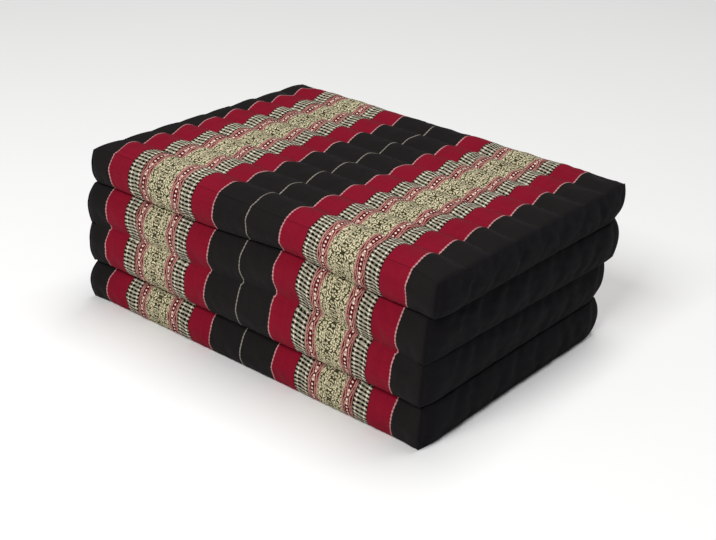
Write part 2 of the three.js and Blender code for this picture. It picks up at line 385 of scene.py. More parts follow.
class Section:
    """The points of one stuffed section: a loop round it at each column, and a grid on each end."""

    def __init__(self, row, sizes, fill):
        self.row = row
        self.sizes = sizes
        low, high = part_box(row["node"])
        self.bottom, self.top = low.z, high.z
        self.faces = {"top": FACES[row["top"]], "bottom": FACES[row["bottom"]]}
        self.fill = fill
        self.steps = sizes.free_steps if row["top"] == "free" else sizes.pressed_steps
        self.rows = sizes.channels * self.steps
        self.front = row["front_inset"] - sizes.length / 2
        self.back = sizes.length / 2 - row["back_inset"]
        self.place_columns()
        self.number_points()

    def place_columns(self):
        """Columns across the section, with how the shape fades towards the end seams."""
        sizes = self.sizes
        half = sizes.width / 2
        self.across = np.linspace(-half, half, sizes.columns + 1)
        from_end = half - np.abs(self.across)
        self.inner = smooth_rise(from_end / sizes.end_fade)
        self.relief = END_RELIEF + (1 - END_RELIEF) * self.inner
        self.fall = (1 - np.clip(from_end / (CROWN_REACH * sizes.end_fade), 0, 1)) ** CROWN_POWER
        self.inset = sizes.corner_inset * (1 - smooth_rise(from_end / (CORNER_FADE * sizes.end_fade)))

    def number_points(self):
        """Numbers the loop from the back top seam, over the top, down the front and back underneath."""
        rows, rises, columns = self.rows, self.sizes.edge_steps, self.sizes.columns
        self.girth = 2 * (rows + 1) + 2 * (rises - 1)
        top = np.arange(rows, -1, -1)
        bottom = rows + rises + np.arange(rows + 1)
        front = np.concatenate([bottom[:1], rows + rises - np.arange(1, rises), top[:1]])
        back = np.concatenate([bottom[-1:], bottom[-1] + np.arange(1, rises), top[-1:]])
        self.places = {"top": top, "bottom": bottom, "front": front, "back": back}
        self.loop = np.arange((columns + 1) * self.girth).reshape(columns + 1, self.girth)
        self.ends = {}
        self.count = self.loop.size
        for side in (LEFT, RIGHT):
            column = self.loop[0 if side == LEFT else -1]
            grid = np.zeros((rows + 1, rises + 1), int)
            grid[:, 0] = column[bottom]
            grid[:, -1] = column[top]
            grid[0] = column[front]
            grid[-1] = column[back]
            inner = (rows - 1) * (rises - 1)
            grid[1:-1, 1:-1] = self.count + np.arange(inner).reshape(rows - 1, rises - 1)
            self.count += inner
            self.ends[side] = grid

    def bulge(self, rises):
        """How far an edge lies behind its belly, from 0 at half height to 1 at its seams."""
        return np.abs(2 * rises - 1) ** self.sizes.edge_roundness

    def nearer(self, rises, key):
        """What the nearer of the two faces has, for each place up an edge."""
        return np.where(rises > 0.5, self.faces["top"][key], self.faces["bottom"][key])

    def level(self, face, fall):
        """Height of a face that has fallen by this much towards the middle of the section."""
        return self.top - fall if face == "top" else self.bottom + fall

    def edge_to_edge(self, key, y):
        """What goes evenly from the front edge to the back one."""
        along = (y - self.front) / (self.back - self.front)
        return self.row["front_" + key] * (1 - along) + self.row["back_" + key] * along

    def corner_draw(self, part, places):
        """How far a seam or an edge is pulled in sideways near the corners, for each place along it."""
        if part not in self.faces:
            return self.nearer(places, "corner") * self.bulge(places)
        from_corner = np.minimum(places, 1 - places) * self.sizes.length
        near = np.clip(1 - from_corner / self.sizes.corner_reach, 0, 1)
        return self.faces[part]["corner"] * near ** 2

    def seam_height(self, face):
        kind = self.faces[face]
        return self.level(face, kind["edge"] * self.relief + kind["crown"] * self.fall)

    def edge_points(self, edge):
        """The y and z of a front or back edge, for each column and rise."""
        rises = np.linspace(0, 1, self.sizes.edge_steps + 1)
        at_end = self.nearer(rises, "at_end")
        hollow = self.nearer(rises, "set_in") * (self.bulge(rises) * self.fill + (1 - self.fill))
        inset = self.inset[:, None] + hollow * (at_end + (1 - at_end) * self.inner[:, None])
        y = self.front + inset if edge == "front" else self.back - inset
        low, high = self.seam_height("bottom"), self.seam_height("top")
        return y, low[:, None] * (1 - rises) + high[:, None] * rises

    def face_points(self, face):
        """The y and z of the top or bottom face, for each column and row."""
        sizes, kind = self.sizes, self.faces[face]
        rise = -1 if face == "top" else 0
        front_y = self.edge_points("front")[0][:, rise]
        back_y = self.edge_points("back")[0][:, rise]
        place = np.arange(self.rows + 1)
        channel = np.minimum(place // self.steps, sizes.channels - 1)
        share = place / self.steps - channel
        at_edge = np.where(share < 0.5, channel == 0, channel == sizes.channels - 1)
        depth = np.where(at_edge, kind["edge"], kind["crease"])
        if self.row[face] == "free":
            swell = 1 - np.abs(2 * share - 1) ** sizes.swell_roundness
            lost = depth * (1 - swell * self.fill) + np.take(CHANNEL_SLACK, channel) * swell
        else:
            swell = np.minimum(1, np.minimum(share, 1 - share) / sizes.pressed_shoulder)
            lost = depth * (1 - swell)
        along = place / self.rows
        y = front_y[:, None] * (1 - along) + back_y[:, None] * along
        return y, self.level(face, self.relief[:, None] * lost + kind["crown"] * self.fall[:, None])

    def points(self):
        """Every point of the section, in the frame."""
        sizes = self.sizes
        made = np.zeros((self.count, 3))
        along = np.linspace(0, 1, self.rows + 1)
        pull = np.sign(self.across) * (np.abs(self.across) / (sizes.width / 2)) ** PULL_POWER
        for part, place in self.places.items():
            on_face = part in self.faces
            y, z = self.face_points(part) if on_face else self.edge_points(part)
            drawn = self.corner_draw(part, np.linspace(0, 1, len(place)))
            if on_face:
                drawn = drawn + sizes.end_drawn_in * np.sin(np.pi * along)
            x = self.across[:, None] - pull[:, None] * drawn
            made[self.loop[:, place]] = np.stack([x, y, z], axis=-1)
        rise = np.linspace(0, 1, sizes.edge_steps + 1)
        dome = np.minimum(1, sizes.channels * np.minimum(along, 1 - along))
        dome = dome[:, None] * (1 - (2 * rise - 1) ** 2)
        for side, grid in self.ends.items():
            low, high = made[grid[:, :1]], made[grid[:, -1:]]
            cap = low * (1 - rise[:, None]) + high * rise[:, None]
            cap[..., 0] += side * sizes.end_belly * self.fill * dome
            made[grid[1:-1, 1:-1]] = cap[1:-1, 1:-1]
        made[:, 0] += self.edge_to_edge("x", made[:, 1])
        return made + stack_shift(sizes)

    def middle_column(self, points):
        return points[self.loop[self.sizes.columns // 2]]

    def runs(self, points):
        """Cloth run round the girth at each place, from 0 at the front top seam down the front."""
        middle = self.middle_column(points)
        run = run_of(np.linalg.norm(np.roll(middle, -1, axis=0) - middle, axis=1))
        return run - run[self.places["top"][0]]

    def band_shift(self, points):
        """How far the bands lie to the left at each place round the girth."""
        return self.edge_to_edge("bands", self.middle_column(points)[:, 1] - stack_shift(self.sizes)[1])

    def faces_and_map(self, run, shift):
        """Outward quads, with the place on the flat cloth of each of their corners."""
        grid = np.meshgrid(np.arange(self.sizes.columns), np.arange(self.girth), indexing="ij")
        i, j = (part.ravel() for part in grid)
        ahead = j + 1
        wrapped = ahead % self.girth
        corners = ((i, j, j), (i, wrapped, ahead), (i + 1, wrapped, ahead), (i + 1, j, j))
        quads = [np.stack([self.loop[column, place] for column, place, _ in corners], axis=1)]
        flat = [(self.across[column] + shift[place], run[at]) for column, place, at in corners]
        maps = [np.stack([np.stack(corner, -1) for corner in flat], axis=1)]
        for side, grid in self.ends.items():
            quads.append(grid_quads(grid, turned=side == LEFT))
            maps.append(np.full((len(quads[-1]), 4, 2), side * self.sizes.width / 2))
        return np.concatenate(quads), np.concatenate(maps)

    def seam_rows(self):
        """Places on the loop that are sewn: the creases and edge seams of the two faces."""
        creases = np.arange(0, self.rows + 1, self.steps)
        return {face: self.places[face][creases] for face in self.faces}

    def held(self):
        """How firmly each point is held while the cloth is blown up."""
        weight = np.zeros(self.count)
        for face, seams in self.seam_rows().items():
            weight[self.loop[:, seams if self.row[face] == "free" else self.places[face]]] = 1
        weight[self.loop[[0, -1]]] = 1
        return weight

    def seam_distance(self, points):
        """Distance of each point from the nearest sewn crease, along the cloth."""
        run = self.runs(points)[:-1]
        sewn = np.concatenate([run[place] for place in self.seam_rows().values()])
        distance = np.full(self.count, self.sizes.pucker_reach)
        distance[self.loop] = np.abs(run[:, None] - sewn[None]).min(axis=1)[None]
        return distance


def stack_shift(sizes):
    """Where the stack's own middle lies in the frame."""
    low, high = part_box("fold_2_3")
    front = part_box("section_2")[0].y
    return np.array([(low.x + high.x) / 2, front + sizes.length / 2, 0.0])


def settled(points, sizes):
    """Points moved as the uneven stuffing lets the front settle, alike for all that touches."""
    def arch(value):
        return np.cos(np.pi / 2 * value) ** 2

    def set_in(start, x):
        return np.clip((start["x"] - x) / start["over"], 0, 1)

    moved = points.copy()
    x, y, z = (points - stack_shift(sizes)).T
    near_front = arch(np.clip((y + sizes.length / 2) / sizes.settled_depth, 0, 1))
    hump = np.exp(-(((x - HUMP["x"]) / HUMP["across"]) ** 2))
    hump *= arch(np.clip((z - HUMP["z"]) / HUMP["up"], -1, 1))
    moved[:, 2] += HUMP["lift"] * hump * near_front
    layers = len(LEFT_SETTLING)
    middles = np.arange(layers) + 0.5
    level = z / (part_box("section_1")[1].z / layers)
    at_line, at_end = (np.interp(level, middles, shifts[::-1]) for shifts in zip(*LEFT_SETTLING))
    to_line, to_end = set_in(LINE_SETS_IN, x), set_in(END_SETS_IN, x)
    moved[:, 0] += (at_line * to_line * (1 - to_end) + at_end * to_end) * near_front
    return moved


def link(name, mesh):
    made = bpy.data.objects.new(name, mesh)
    bpy.context.scene.collection.objects.link(made)
    return made


def cloth_mesh(name, points, quads, maps):
    """A smooth mesh with its place on the flat cloth as a UV map."""
    mesh = bpy.data.meshes.new(name)
    mesh.from_pydata(points.tolist(), [], quads.tolist())
    layer = mesh.uv_layers.new(name=CLOTH_MAP)
    layer.data.foreach_set("uv", np.asarray(maps, np.float32).ravel())
    mesh.shade_smooth()
    mesh.update()
    return mesh


def crease_edges(mesh, firm):
    """Sharpens the edges along rows of points. firm has each row with its sharpness."""
    pairs = np.zeros(len(mesh.edges) * 2, int)
    mesh.edges.foreach_get("vertices", pairs)
    pairs = pairs.reshape(-1, 2)
    sharp = np.zeros(len(pairs), np.float32)
    for row, sharpness in firm:
        flags = np.zeros(len(mesh.vertices), int)
        flags[row.ravel()] = 1
        sharp = np.where(flags[pairs].all(axis=1), sharpness, sharp)
    attribute = mesh.attributes.new("crease_edge", "FLOAT", "EDGE")
    attribute.data.foreach_set("value", sharp.astype(np.float32))


def read(items, key, width):
    """The numbers under a key, with a row for each item."""
    numbers = np.zeros(len(items) * width, np.float32)
    items.foreach_get(key, numbers)
    return numbers.reshape(-1, width).astype(float)


def points_of(mesh):
    return read(mesh.vertices, "co", 3)


def set_points(mesh, points):
    mesh.vertices.foreach_set("co", points.astype(np.float32).ravel())
    mesh.update()


def evaluated(piece):
    return piece.evaluated_get(bpy.context.evaluated_depsgraph_get())


def blow_up(pieces, settings):
    """Lets the stuffing push the cloth out between its seams. Returns where each piece's points end."""
    for piece, held in pieces:
        group = piece.vertex_groups.new(name="seams")
        for weight in np.unique(held):
            group.add(np.flatnonzero(held == weight).tolist(), float(weight), "REPLACE")
        cloth = piece.modifiers.new("Stuffing", "CLOTH")
        for name, value in COTTON.items():
            setattr(cloth.settings, name, value)
        cloth.settings.uniform_pressure_force = settings.pressure
        cloth.settings.shrink_min = -settings.spare_cloth
        cloth.settings.effector_weights.gravity = 0
        cloth.collision_settings.use_collision = False
        cloth.collision_settings.use_self_collision = False
        cloth.point_cache.frame_end = settings.frames
    scene = bpy.context.scene
    for step in range(1, settings.frames + 1):
        scene.frame_set(step)
    ends = [points_of(evaluated(piece).data) for piece, _ in pieces]
    for piece, _ in pieces:
        piece.modifiers.clear()
        piece.vertex_groups.clear()
    scene.frame_set(1)
    return ends


def capped(points, full, travel):
    """Points that moved no further than travel from the full shape."""
    moved = points - full
    length = np.linalg.norm(moved, axis=1, keepdims=True)
    return full + moved * np.minimum(1, travel / np.maximum(length, TINY))


def apply_modifiers(piece):
    """Replaces the mesh of a piece by what its modifiers make of it."""
    old = piece.data
    name = old.name
    mesh = bpy.data.meshes.new_from_object(evaluated(piece))
    piece.modifiers.clear()
    piece.data = mesh
    bpy.data.meshes.remove(old)
    mesh.name = name
    return mesh


def finer(piece):
    """Replaces the mesh of a piece by its subdivision."""
    modifier = piece.modifiers.new("Finer", "SUBSURF")
    modifier.levels = 1
    modifier.render_levels = 1
    modifier.boundary_smooth = "PRESERVE_CORNERS"
    return apply_modifiers(piece)


def thicken(piece, thickness):
    """Gives a sheet of cloth its thickness, inwards."""
    cloth = piece.modifiers.new("Cloth", "SOLIDIFY")
    cloth.thickness = thickness
    cloth.offset = -1


def waves(along, across, lengths):
    """A gentle unevenness between -1 and 1, made of a few waves that never line up."""
    total = np.zeros_like(along)
    for number, length in enumerate(lengths):
        phase = WAVE_TURN * (number + 1) * across + WAVE_LAG * number
        total += np.sin(2 * np.pi * along / length + phase)
    return total / len(lengths)


def tuck(mesh, sizes, lump_height):
    """Puts in the small tucks beside the creases, and the lumps of the stuffing away from them."""
    points, normals = points_of(mesh), read(mesh.vertices, "normal", 3)
    distance = read(mesh.attributes["seam_distance"].data, "value", 1)[:, 0]
    near = np.exp(-((distance / (TUCKS["reach"] * sizes.pucker_reach)) ** 2))
    near *= np.clip(distance / TUCKS["full"], TUCKS["at_crease"], 1)
    x, y, z = points.T
    height = sizes.pucker_depth * near * waves(x, y + z, TUCKS["waves"])
    lumps = waves(x, LUMPS["slant"] * y, LUMPS["waves"])
    height += lump_height * lumps * np.clip(distance / LUMPS["full"], 0, 1)
    set_points(mesh, points + normals * height[:, None])


def limit(mesh, section):
    """Keeps a section within its own layer of the stack, though the free top may rise a little."""
    points = points_of(mesh)
    top = section.top + (FREE_RISE if section.row["top"] == "free" else 0)
    points[:, 2] = np.clip(points[:, 2], section.bottom, top)
    set_points(mesh, points)


def reckoned(operation):
    """A way of reckoning with values that joins up a math node."""
    def method(value, *others):
        return value.weave.math(operation, value, *others)

    return method


class Value:
    """A number or colour in a material. A mask is a number that is 1 where it holds and 0 elsewhere."""

    __add__ = reckoned("ADD")
    __sub__ = reckoned("SUBTRACT")
    __mul__ = reckoned("MULTIPLY")
    __truediv__ = reckoned("DIVIDE")
    __pow__ = reckoned("POWER")
    __abs__ = reckoned("ABSOLUTE")
    __lt__ = reckoned("LESS_THAN")
    __gt__ = reckoned("GREATER_THAN")
    __and__ = reckoned("MULTIPLY")
    __or__ = reckoned("MAXIMUM")
    sine = reckoned("SINE")
    root = reckoned("SQRT")
    mirrored = reckoned("PINGPONG")

    def __init__(self, weave, socket):
        self.weave = weave
        self.socket = socket

    def __invert__(self):
        return self.weave.math("SUBTRACT", 1.0, self)

    def between(self, low, high):
        return (self > low) & (self < high)

    def stepped(self, step):
        """The middle of the thread that a place falls on."""
        return self.weave.math("SNAP", self, step) + step / 2

    def repeat(self, pitch):
        """Place within a repeat, from 0 to 1."""
        return self.weave.math("FRACT", self / pitch)


class Weave:
    """Joins up the nodes of one cloth."""

    def __init__(self, name):
        self.material = bpy.data.materials.new(name)
        self.material.use_nodes = True
        self.nodes = self.material.node_tree.nodes
        self.links = self.material.node_tree.links
        self.shader = self.nodes["Principled BSDF"]

    def plug(self, socket, value):
        if isinstance(value, Value):
            self.links.new(value.socket, socket)
        elif socket.type == "RGBA":
            socket.default_value = (*value, 1)
        else:
            socket.default_value = value

    def plugged(self, kind, inputs, output, **options):
        """The output of a new node with these options and inputs."""
        node = self.nodes.new(kind)
        for name, option in options.items():
            setattr(node, name, option)
        for name, value in inputs.items():
            self.plug(node.inputs[name], value)
        return Value(self, node.outputs[output])

    def math(self, operation, *values):
        return self.plugged("ShaderNodeMath", dict(enumerate(values)), 0, operation=operation)

    def mix(self, share, first, second, blend="MIX"):
        """A colour between the first, at 0, and the second, at 1."""
        node = self.nodes.new("ShaderNodeMix")
        node.data_type = "RGBA"
        node.blend_type = blend
        self.plug(node.inputs["Factor"], share)
        sockets = [socket for socket in node.inputs if socket.type == "RGBA"]
        for socket, colour in zip(sockets, (first, second)):
            self.plug(socket, colour)
        return Value(self, next(socket for socket in node.outputs if socket.type == "RGBA"))

    def vector(self, x, y, z=0.0):
        return self.plugged("ShaderNodeCombineXYZ", {"X": x, "Y": y, "Z": z}, "Vector")

    def cloth_place(self):
        """Place on the flat cloth: across the bands from the middle line, and along them."""
        place = self.plugged("ShaderNodeUVMap", {}, "UV", uv_map=CLOTH_MAP)
        return [self.plugged("ShaderNodeSeparateXYZ", {"Vector": place}, axis) for axis in ("X", "Y")]

    def object_place(self):
        return self.plugged("ShaderNodeTexCoord", {}, "Object")

    def noise(self, place, scale, detail=2.0):
        inputs = {"Vector": place, "Scale": scale, "Detail": detail}
        return self.plugged("ShaderNodeTexNoise", inputs, "Fac")

    def leaf_place(self, place):
        """Distance from the middle of the nearest of many scattered leaves."""
        inputs = {"Vector": place, "Scale": 1.0, "Randomness": 0.85}
        return self.plugged("ShaderNodeTexVoronoi", inputs, "Distance", voronoi_dimensions="2D")

    def ramp(self, value, low, high):
        """Rises from 0 to 1 as the value goes from low to high."""
        inputs = {"Value": value, "From Min": low, "From Max": high}
        return self.plugged("ShaderNodeMapRange", inputs, "Result")

    def plain_weave(self, across, along, pitch):
        """Height of over-and-under threads, from 0 to 1."""
        turn = 2 * math.pi / pitch
        return (across * turn).sine() * (along * turn).sine() * 0.5 + 0.5

    def thread_shade(self, across, along):
        """Uneven dyeing and spinning: streaks along both threads and broad soft patches, about 1."""
        fine, coarse = STREAKS["across"], STREAKS["along"]
        warp = self.noise(self.vector(across * fine, along * coarse), 1.0)
        weft = self.noise(self.vector(across * coarse, along * fine), 1.0)
        patch = self.noise(self.object_place(), STREAKS["patches"], detail=3.0)
        shade = warp * STREAKS["share"] + STREAKS["base"] + weft * STREAKS["share"]
        return shade + patch * STREAKS["patch_share"]

    def finished(self, colour, shade, sheen, roughness):
        """The material, with its colour darkened by the shade."""
        shaded = self.mix(1.0, colour, self.vector(shade, shade, shade), "MULTIPLY")
        inputs = {
            "Base Color": shaded,
            "Roughness": roughness,
            "Specular IOR Level": 0.05,
            "Sheen Weight": sheen,
            "Sheen Roughness": 0.5,
        }
        for name, value in inputs.items():
            self.plug(self.shader.inputs[name], value)
        return self.material

    def bump(self, height, strength, distance):
        inputs = {"Strength": strength, "Distance": distance, "Height": height}
        self.plug(self.shader.inputs["Normal"], self.plugged("ShaderNodeBump", inputs, "Normal"))


def ladder_colour(weave, place, along, bands, colours):
    """Rungs with pale beads over black gaps. place runs from 0 at the scroll to the ladder's width."""
    half = bands.ladder / 2
    off = abs(place - half)
    uneven = weave.noise(weave.vector(place, along), LADDER["grain"], detail=0.0) - 0.5
    turn = uneven * LADDER["uneven"] + along.repeat(bands.ladder_picks * bands.pick)
    posts = off.between(*(share * half for share in LADDER["posts"]))
    middle = off < LADDER["middle"] * half
    filled = posts * LADDER["at_posts"] | middle * LADDER["at_middle"]
    gaps = (turn > LADDER["gap"]) & ~filled
    fringe = off > LADDER["fringe"] * half
    rungs = weave.mix(posts & turn.between(*LADDER["beads"]), colours.stone, colours.ivory)
    return weave.mix(gaps | fringe, rungs, colours.soot)


def scroll_colour(weave, off, along, bands, colours):
    """Long pink links with pale beads in them, lines about the links and a line along each edge."""
    half = bands.scroll / 2
    pitch = bands.scroll_picks * bands.pick
    spacing = bands.bead_picks * bands.pick
    run = (along.repeat(pitch) - 0.5) * pitch
    width, length = SCROLL["link_width"] * half, SCROLL["link_length"] * pitch
    oval = ((off / width) ** 2.0 + (run / length) ** 2.0).root()
    bead = ((run + spacing / 2).repeat(spacing) - 0.5) * spacing
    beads = off ** 2.0 + bead ** 2.0 < (SCROLL["bead"] * spacing) ** 2
    edge = abs(off).between(*(share * half for share in SCROLL["edge"]))
    lines = oval.between(*SCROLL["line"]) | oval.between(*SCROLL["outer_line"]) | edge
    return weave.mix(beads, weave.mix(lines, colours.wine, colours.pink), colours.ivory)


def brocade_colour(weave, off, pick, bands, colours):
    """Leaves of cream and straw about lozenges that repeat along the band and mirror across it.

    Returns the colour, and how far the weft stands up.
    """
    reach = bands.brocade_picks * bands.pick / 2
    mirror = pick.mirrored(reach)
    lozenge = off / bands.brocade_half + mirror / reach
    place = weave.vector((off + mirror) / bands.leaf_width, (off - mirror) / bands.leaf_length)
    patch = weave.noise(weave.vector(off, pick), BROCADE["grain"], detail=1.0) - 0.5
    from_heart = patch * BROCADE["uneven"] + weave.leaf_place(place)
    ring = abs(lozenge.repeat(0.5) - 0.5) < BROCADE["ring"]
    gaps = weave.ramp(from_heart, *BROCADE["gap"]) | ring
    weft = weave.mix(weave.ramp(from_heart, *BROCADE["tone"]), colours.cream, colours.straw)
    return weave.mix(gaps, weft, colours.olive), ~gaps


def banded_cloth(bands, colours):
    """Cotton woven in black and red stripes, with pale lines, ladders, scrolls and a cream brocade."""
    weave = Weave("banded cotton")
    across, along = weave.cloth_place()
    bowed = (across * across + bands.slant_width ** 2).root()
    pick = (along - (across + bowed) * (bands.weft_slant / 2)).stepped(bands.pick)
    off = abs(abs(across.stepped(bands.pick)) - bands.block_centre)
    scroll_end = bands.brocade_half + bands.scroll
    ladder_end = scroll_end + bands.ladder

    brocade, cream = brocade_colour(weave, off, pick, bands, colours)
    scroll = scroll_colour(weave, off - (bands.brocade_half + bands.scroll / 2), pick, bands, colours)
    ladder = ladder_colour(weave, off - scroll_end, pick, bands, colours)
    colour = weave.mix(off < bands.block_half, colours.black, colours.red)
    colour = weave.mix(off < ladder_end, colour, ladder)
    colour = weave.mix(off < scroll_end, colour, scroll)
    colour = weave.mix(off < bands.brocade_half, colour, brocade)

    bead = (along * (2 * math.pi / bands.bead_pitch)).sine()
    from_line = abs(abs(abs(across) - bands.block_centre) - bands.block_half)
    swell = bead * (EDGE_LINE["swell"] * bands.edge_line)
    edge_line = from_line < swell + EDGE_LINE["half"] * bands.edge_line
    colour = weave.mix(edge_line, colour, colours.edge_line)
    swell = bead * (MIDDLE_LINE["swell"] * bands.middle_line)
    middle_line = abs(across) < swell + MIDDLE_LINE["half"] * bands.middle_line
    colour = weave.mix(middle_line, colour, colours.middle_line)

    # A thin line along the top front seam is darkened: painted shadow of the crease at the seam
    seam = abs(along) < bands.front_seam_shadow / 2
    shade = weave.thread_shade(across, along) * (seam * SEAM_PAINTED_SHADOW + 1.0)
    borders = off.between(bands.brocade_half, ladder_end) * BORDER_RISE
    raised = (off < bands.brocade_half) & cream | edge_line | middle_line | borders
    plain = weave.plain_weave(across, along, bands.thread_pitch)
    weave.bump(plain * WEAVE_RISE + raised, strength=0.5, distance=0.0004)
    return weave.finished(colour, shade, sheen=0.02, roughness=0.9)


def black_cloth(colour, thread_pitch):
    """Plain black cotton, a little dusty and unevenly dyed."""
    weave = Weave("black cotton")
    across, along = weave.cloth_place()
    lint = weave.noise(weave.object_place(), LINT["grain"], detail=1.0)
    specks = (lint > LINT["speck"]) * LINT["full"]
    dusty = weave.mix(specks, colour, tuple(LINT["pale"] * part for part in colour))
    weave.bump(weave.plain_weave(across, along, thread_pitch), strength=0.45, distance=0.0003)
    return weave.finished(dusty, weave.thread_shade(across, along), sheen=0.02, roughness=0.92)


def mottled_material(name, colour, look):
    """One colour, a little uneven."""
    weave = Weave(name)
    mottle = weave.noise(weave.object_place(), look["grain"], look["detail"])
    shade = mottle * look["contrast"] + look["base"]
    return weave.finished(colour, shade, look["sheen"], look["roughness"])


def settings_of(context):
    scene = context.scene
    return scene.mattress_sizes, scene.mattress_bands, scene.mattress_colours


def wear(piece, material):
    piece.data.materials.clear()
    piece.data.materials.append(material)


def dress(piece, material, node):
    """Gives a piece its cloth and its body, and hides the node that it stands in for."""
    wear(piece, material)
    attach(piece, ROOT)
    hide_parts(node)


class MATTRESS_OT_sections(bpy.types.Operator):
    """Make the stuffed sections of banded cotton"""

    bl_idname = "mattress.sections"
    bl_label = "Stuffed sections"

    def execute(self, context):
        sizes, bands, colours = settings_of(context)
        stuffing = context.scene.mattress_stuffing
        cloth = banded_cloth(bands, colours)
        made = []
        start = 0.0
        for row in SECTIONS:
            full = Section(row, sizes, 1.0)
            slack = Section(row, sizes, stuffing.slack)
            shape = full.points()
            run = full.runs(shape)
            full.run = run + start
            full.shift = full.band_shift(shape)
            quads, maps = full.faces_and_map(full.run, full.shift)
            start += run[full.places["bottom"][0]] + FOLD_RUN
            name = row["node"] + "_cover"
            made.append((full, shape, link(name, cloth_mesh(name, slack.points(), quads, maps))))
        ends = blow_up([(piece, section.held()) for section, _, piece in made], stuffing)
        for (section, shape, piece), end in zip(made, ends):
            section.placed = capped(end, shape, stuffing.travel)
            stuffed[section.row["node"]] = section
            self.finish(section, piece, sizes, cloth)
        return {"FINISHED"}

    def finish(self, section, piece, sizes, cloth):
        """Puts the creases, tucks and lumps in a stuffed cover, lets it settle and dresses it."""
        set_points(piece.data, section.placed)
        distance = piece.data.attributes.new("seam_distance", "FLOAT", "POINT")
        distance.data.foreach_set("value", section.seam_distance(section.placed).astype(np.float32))
        rows = [place for places in section.seam_rows().values() for place in places]
        firm = [(section.loop[:, place], CREASE_SHARPNESS) for place in rows]
        firm += [(section.loop[column], END_SHARPNESS) for column in (0, -1)]
        crease_edges(piece.data, firm)
        mesh = finer(piece)
        lumps = 1 if section.row["top"] == "free" else LUMPS["pressed"]
        tuck(mesh, sizes, lumps * sizes.lump_height)
        limit(mesh, section)
        set_points(mesh, settled(points_of(mesh), sizes))
        section.placed = settled(section.placed, sizes)
        mesh.attributes.remove(mesh.attributes["seam_distance"])
        dress(piece, cloth, section.row["node"])


class MATTRESS_OT_gussets(bpy.types.Operator):
    """Make the black gussets that close the ends of the sections"""

    bl_idname = "mattress.gussets"
    bl_label = "End gussets"

    def execute(self, context):
        sizes, bands, colours = settings_of(context)
        # The gussets' dark colour is partly painted shade of the ends that face away from the lights
        cloth = black_cloth(colours.gusset, bands.thread_pitch)
        for number, row in enumerate(SECTIONS, start=1):
            for side_name, side in SIDES.items():
                node = f"gusset_{side_name}_{number}"
                piece = self.gusset(node, stuffed[row["node"]], side, sizes)
                dress(piece, cloth, node)
        return {"FINISHED"}

    def gusset(self, node, section, side, sizes):
        """A sheet over an end of a section, with a ridge for its turned seam."""
        raised = section.placed[section.ends[side]]
        along = run_of(np.linalg.norm(np.diff(raised, axis=0), axis=2).mean(axis=1))
        up = run_of(np.linalg.norm(np.diff(raised, axis=1), axis=2).mean(axis=0))
        raised[..., 0] += side * (sizes.gusset_off + sizes.gusset_cloth)
        for rim, turn in ((0, -1), (-1, 1)):
            raised[rim, :, 1] += turn * sizes.seam_ridge
            raised[:, rim, 2] += turn * sizes.seam_ridge
        raised[..., 2] = np.maximum(raised[..., 2], LOWEST_GUSSET)
        points = raised.reshape(-1, 3)
        quads = grid_quads(np.arange(len(points)).reshape(raised.shape[:2]), turned=side == LEFT)
        places = np.stack(np.meshgrid(along, up, indexing="ij"), axis=-1).reshape(-1, 2)
        name = node + "_cloth"
        piece = link(name, cloth_mesh(name, points, quads, places[quads]))
        self.loosen(finer(piece), side)
        thicken(piece, sizes.gusset_cloth)
        section.row["node"] + "_cover"
        return piece

    def loosen(self, mesh, side):
        """Lets the cloth between the rims of a gusset lie unevenly."""
        points = points_of(mesh)
        low, high = points.min(axis=0), points.max(axis=0)
        inner = np.ones(len(points))
        for axis, reach in ((1, LOOSE["along"]), (2, LOOSE["up"])):
            place = points[:, axis]
            inner *= np.clip(np.minimum(place - low[axis], high[axis] - place) / reach, 0, 1)
        uneven = waves(points[:, 1], LOOSE["slant"] * points[:, 2], LOOSE["waves"])
        points[:, 0] += side * LOOSE["height"] * inner * uneven
        set_points(mesh, points)


class MATTRESS_OT_folds(bpy.types.Operator):
    """Make the doubled cloth in the valleys between the sections"""

    bl_idname = "mattress.folds"
    bl_label = "Folds"

    def execute(self, context):
        sizes = context.scene.mattress_sizes
        cloth = bpy.data.materials["banded cotton"]
        for fold in FOLDS:
            piece = self.fold(fold, sizes)
            dress(piece, cloth, fold["node"])
        return {"FINISHED"}

    def fold(self, fold, sizes):
        """A strip from low on the upper section's edge, through the valley, to high on the lower's."""
        upper = stuffed[SECTIONS[fold["above"]]["node"]]
        lower = stuffed[SECTIONS[fold["above"] + 1]["node"]]
        edge = fold["edge"]
        turn = 1 if edge == "front" else -1
        columns = slice(1, -1)
        inward = np.array([0.0, turn, 0.0])
        leaving, meeting = upper.places[edge][:2], lower.places[edge][-2:]
        above = upper.placed[upper.loop[columns][:, leaving]]
        below = lower.placed[lower.loop[columns][:, meeting]]
        middle = (above[:, :1] + below[:, -1:]) / 2 + FOLD_DRAW * inward
        strip = np.concatenate([above[:, ::-1], middle, below[:, ::-1]], axis=1) - FOLD_OFF * inward
        strip[:, [0, -1]] += FOLD_TUCK * inward
        along = run_of(np.linalg.norm(np.diff(strip[len(strip) // 2], axis=0), axis=1))
        share = along / along[-1]
        shift = upper.shift[leaving[1]] * (1 - share) + lower.shift[meeting[0]] * share
        across = upper.across[columns]
        flat = np.broadcast_arrays(across[:, None] + shift, upper.run[leaving[1]] + turn * along)
        places = np.stack(flat, axis=-1).reshape(-1, 2)
        points = strip.reshape(-1, 3)
        quads = grid_quads(np.arange(len(points)).reshape(strip.shape[:2]), turned=edge == "front")
        name = fold["node"] + "_cloth"
        piece = link(name, cloth_mesh(name, points, quads, places[quads]))
        finer(piece)
        thicken(piece, sizes.fold_cloth)
        upper.row["node"] + "_cover"
        lower.row["node"] + "_cover"
        return piece


